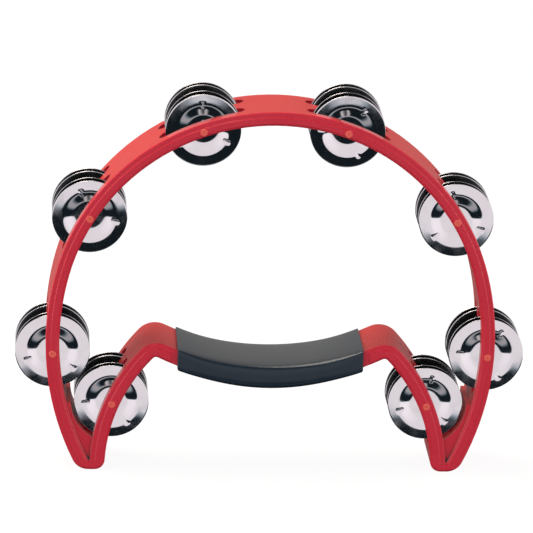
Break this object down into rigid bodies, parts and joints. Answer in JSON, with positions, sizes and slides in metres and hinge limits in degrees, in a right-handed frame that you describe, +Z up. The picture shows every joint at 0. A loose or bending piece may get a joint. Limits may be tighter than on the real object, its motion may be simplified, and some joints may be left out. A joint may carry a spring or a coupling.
{
  "type": "tambourine",
  "caption": "Half-moon hand tambourine: red moulded hoop with a curved, sleeved handle bar, and pairs of cupped steel jingles on pins in slots through its wall.",
  "frame": {"origin": "midway between the two feet, on the surface they stand on, halfway from front to back", "axes": "+Z up through the top of the hoop, X across the hoop and along the handle, -Y out of the front face, along the pins"},
  "size_m": [0.2966, 0.0478, 0.2253],
  "materials": {
    "red_plastic": "moulded red plastic, satin gloss",
    "black_rubber": "smooth black rubber sleeve with a slight sheen",
    "plug_plastic": "orange-red moulded plug",
    "pin_steel": "drawn steel rod",
    "jingle_plate": "nickel-plated stamped steel, bright"
  },
  "bodies": {
    "frame": {"frame": "red_plastic", "grip": "black_rubber", "front_plugs": "plug_plastic", "rear_plugs": "plug_plastic"},
    "pin_left_foot": {"pin_left_foot": "pin_steel"},
    "pin_left_low": {"pin_left_low": "pin_steel"},
    "pin_left_high": {"pin_left_high": "pin_steel"},
    "pin_left_top": {"pin_left_top": "pin_steel"},
    "pin_right_top": {"pin_right_top": "pin_steel"},
    "pin_right_high": {"pin_right_high": "pin_steel"},
    "pin_right_low": {"pin_right_low": "pin_steel"},
    "pin_right_foot": {"pin_right_foot": "pin_steel"},
    "jingle_left_foot_1": {"jingle_left_foot_1": "jingle_plate"},
    "jingle_left_foot_2": {"jingle_left_foot_2": "jingle_plate"},
    "jingle_left_foot_3": {"jingle_left_foot_3": "jingle_plate"},
    "jingle_left_foot_4": {"jingle_left_foot_4": "jingle_plate"},
    "jingle_left_low_1": {"jingle_left_low_1": "jingle_plate"},
    "jingle_left_low_2": {"jingle_left_low_2": "jingle_plate"},
    "jingle_left_low_3": {"jingle_left_low_3": "jingle_plate"},
    "jingle_left_low_4": {"jingle_left_low_4": "jingle_plate"},
    "jingle_left_high_1": {"jingle_left_high_1": "jingle_plate"},
    "jingle_left_high_2": {"jingle_left_high_2": "jingle_plate"},
    "jingle_left_high_3": {"jingle_left_high_3": "jingle_plate"},
    "jingle_left_high_4": {"jingle_left_high_4": "jingle_plate"},
    "jingle_left_top_1": {"jingle_left_top_1": "jingle_plate"},
    "jingle_left_top_2": {"jingle_left_top_2": "jingle_plate"},
    "jingle_left_top_3": {"jingle_left_top_3": "jingle_plate"},
    "jingle_left_top_4": {"jingle_left_top_4": "jingle_plate"},
    "jingle_right_top_1": {"jingle_right_top_1": "jingle_plate"},
    "jingle_right_top_2": {"jingle_right_top_2": "jingle_plate"},
    "jingle_right_top_3": {"jingle_right_top_3": "jingle_plate"},
    "jingle_right_top_4": {"jingle_right_top_4": "jingle_plate"},
    "jingle_right_high_1": {"jingle_right_high_1": "jingle_plate"},
    "jingle_right_high_2": {"jingle_right_high_2": "jingle_plate"},
    "jingle_right_high_3": {"jingle_right_high_3": "jingle_plate"},
    "jingle_right_high_4": {"jingle_right_high_4": "jingle_plate"},
    "jingle_right_low_1": {"jingle_right_low_1": "jingle_plate"},
    "jingle_right_low_2": {"jingle_right_low_2": "jingle_plate"},
    "jingle_right_low_3": {"jingle_right_low_3": "jingle_plate"},
    "jingle_right_low_4": {"jingle_right_low_4": "jingle_plate"},
    "jingle_right_foot_1": {"jingle_right_foot_1": "jingle_plate"},
    "jingle_right_foot_2": {"jingle_right_foot_2": "jingle_plate"},
    "jingle_right_foot_3": {"jingle_right_foot_3": "jingle_plate"},
    "jingle_right_foot_4": {"jingle_right_foot_4": "jingle_plate"}
  },
  "joints": [
    {"name": "spin_left_foot", "type": "hinge", "parent": "frame", "child": "pin_left_foot", "pos_m": [-0.09189, 0, 0.0402], "axis": [0, 1, 0], "continuous": true},
    {"name": "spin_left_low", "type": "hinge", "parent": "frame", "child": "pin_left_low", "pos_m": [-0.12655, 0, 0.0706], "axis": [0, 1, 0], "continuous": true},
    {"name": "spin_left_high", "type": "hinge", "parent": "frame", "child": "pin_left_high", "pos_m": [-0.10607, 0, 0.152], "axis": [0, 1, 0], "continuous": true},
    {"name": "spin_left_top", "type": "hinge", "parent": "frame", "child": "pin_left_top", "pos_m": [-0.04153, 0, 0.20427], "axis": [0, 1, 0], "continuous": true},
    {"name": "spin_right_top", "type": "hinge", "parent": "frame", "child": "pin_right_top", "pos_m": [0.04153, 0, 0.20427], "axis": [0, 1, 0], "continuous": true},
    {"name": "spin_right_high", "type": "hinge", "parent": "frame", "child": "pin_right_high", "pos_m": [0.10607, 0, 0.152], "axis": [0, 1, 0], "continuous": true},
    {"name": "spin_right_low", "type": "hinge", "parent": "frame", "child": "pin_right_low", "pos_m": [0.12655, 0, 0.0706], "axis": [0, 1, 0], "continuous": true},
    {"name": "spin_right_foot", "type": "hinge", "parent": "frame", "child": "pin_right_foot", "pos_m": [0.09189, 0, 0.0402], "axis": [0, 1, 0], "continuous": true},
    {"name": "slide_left_foot_1", "type": "slide", "parent": "pin_left_foot", "child": "jingle_left_foot_1", "axis": [0, 1, 0], "range_m": [-0.00085, 0.0006]},
    {"name": "slide_left_foot_2", "type": "slide", "parent": "pin_left_foot", "child": "jingle_left_foot_2", "axis": [0, 1, 0], "range_m": [-0.0006, 0.00085]},
    {"name": "slide_left_foot_3", "type": "slide", "parent": "pin_left_foot", "child": "jingle_left_foot_3", "axis": [0, 1, 0], "range_m": [-0.00085, 0.0006]},
    {"name": "slide_left_foot_4", "type": "slide", "parent": "pin_left_foot", "child": "jingle_left_foot_4", "axis": [0, 1, 0], "range_m": [-0.0006, 0.00085]},
    {"name": "slide_left_low_1", "type": "slide", "parent": "pin_left_low", "child": "jingle_left_low_1", "axis": [0, 1, 0], "range_m": [-0.00085, 0.0006]},
    {"name": "slide_left_low_2", "type": "slide", "parent": "pin_left_low", "child": "jingle_left_low_2", "axis": [0, 1, 0], "range_m": [-0.0006, 0.00085]},
    {"name": "slide_left_low_3", "type": "slide", "parent": "pin_left_low", "child": "jingle_left_low_3", "axis": [0, 1, 0], "range_m": [-0.00085, 0.0006]},
    {"name": "slide_left_low_4", "type": "slide", "parent": "pin_left_low", "child": "jingle_left_low_4", "axis": [0, 1, 0], "range_m": [-0.0006, 0.00085]},
    {"name": "slide_left_high_1", "type": "slide", "parent": "pin_left_high", "child": "jingle_left_high_1", "axis": [0, 1, 0], "range_m": [-0.00085, 0.0006]},
    {"name": "slide_left_high_2", "type": "slide", "parent": "pin_left_high", "child": "jingle_left_high_2", "axis": [0, 1, 0], "range_m": [-0.0006, 0.00085]},
    {"name": "slide_left_high_3", "type": "slide", "parent": "pin_left_high", "child": "jingle_left_high_3", "axis": [0, 1, 0], "range_m": [-0.00085, 0.0006]},
    {"name": "slide_left_high_4", "type": "slide", "parent": "pin_left_high", "child": "jingle_left_high_4", "axis": [0, 1, 0], "range_m": [-0.0006, 0.00085]},
    {"name": "slide_left_top_1", "type": "slide", "parent": "pin_left_top", "child": "jingle_left_top_1", "axis": [0, 1, 0], "range_m": [-0.00085, 0.0006]},
    {"name": "slide_left_top_2", "type": "slide", "parent": "pin_left_top", "child": "jingle_left_top_2", "axis": [0, 1, 0], "range_m": [-0.0006, 0.00085]},
    {"name": "slide_left_top_3", "type": "slide", "parent": "pin_left_top", "child": "jingle_left_top_3", "axis": [0, 1, 0], "range_m": [-0.00085, 0.0006]},
    {"name": "slide_left_top_4", "type": "slide", "parent": "pin_left_top", "child": "jingle_left_top_4", "axis": [0, 1, 0], "range_m": [-0.0006, 0.00085]},
    {"name": "slide_right_top_1", "type": "slide", "parent": "pin_right_top", "child": "jingle_right_top_1", "axis": [0, 1, 0], "range_m": [-0.00085, 0.0006]},
    {"name": "slide_right_top_2", "type": "slide", "parent": "pin_right_top", "child": "jingle_right_top_2", "axis": [0, 1, 0], "range_m": [-0.0006, 0.00085]},
    {"name": "slide_right_top_3", "type": "slide", "parent": "pin_right_top", "child": "jingle_right_top_3", "axis": [0, 1, 0], "range_m": [-0.00085, 0.0006]},
    {"name": "slide_right_top_4", "type": "slide", "parent": "pin_right_top", "child": "jingle_right_top_4", "axis": [0, 1, 0], "range_m": [-0.0006, 0.00085]},
    {"name": "slide_right_high_1", "type": "slide", "parent": "pin_right_high", "child": "jingle_right_high_1", "axis": [0, 1, 0], "range_m": [-0.00085, 0.0006]},
    {"name": "slide_right_high_2", "type": "slide", "parent": "pin_right_high", "child": "jingle_right_high_2", "axis": [0, 1, 0], "range_m": [-0.0006, 0.00085]},
    {"name": "slide_right_high_3", "type": "slide", "parent": "pin_right_high", "child": "jingle_right_high_3", "axis": [0, 1, 0], "range_m": [-0.00085, 0.0006]},
    {"name": "slide_right_high_4", "type": "slide", "parent": "pin_right_high", "child": "jingle_right_high_4", "axis": [0, 1, 0], "range_m": [-0.0006, 0.00085]},
    {"name": "slide_right_low_1", "type": "slide", "parent": "pin_right_low", "child": "jingle_right_low_1", "axis": [0, 1, 0], "range_m": [-0.00085, 0.0006]},
    {"name": "slide_right_low_2", "type": "slide", "parent": "pin_right_low", "child": "jingle_right_low_2", "axis": [0, 1, 0], "range_m": [-0.0006, 0.00085]},
    {"name": "slide_right_low_3", "type": "slide", "parent": "pin_right_low", "child": "jingle_right_low_3", "axis": [0, 1, 0], "range_m": [-0.00085, 0.0006]},
    {"name": "slide_right_low_4", "type": "slide", "parent": "pin_right_low", "child": "jingle_right_low_4", "axis": [0, 1, 0], "range_m": [-0.0006, 0.00085]},
    {"name": "slide_right_foot_1", "type": "slide", "parent": "pin_right_foot", "child": "jingle_right_foot_1", "axis": [0, 1, 0], "range_m": [-0.00085, 0.0006]},
    {"name": "slide_right_foot_2", "type": "slide", "parent": "pin_right_foot", "child": "jingle_right_foot_2", "axis": [0, 1, 0], "range_m": [-0.0006, 0.00085]},
    {"name": "slide_right_foot_3", "type": "slide", "parent": "pin_right_foot", "child": "jingle_right_foot_3", "axis": [0, 1, 0], "range_m": [-0.00085, 0.0006]},
    {"name": "slide_right_foot_4", "type": "slide", "parent": "pin_right_foot", "child": "jingle_right_foot_4", "axis": [0, 1, 0], "range_m": [-0.0006, 0.00085]}
  ]
}
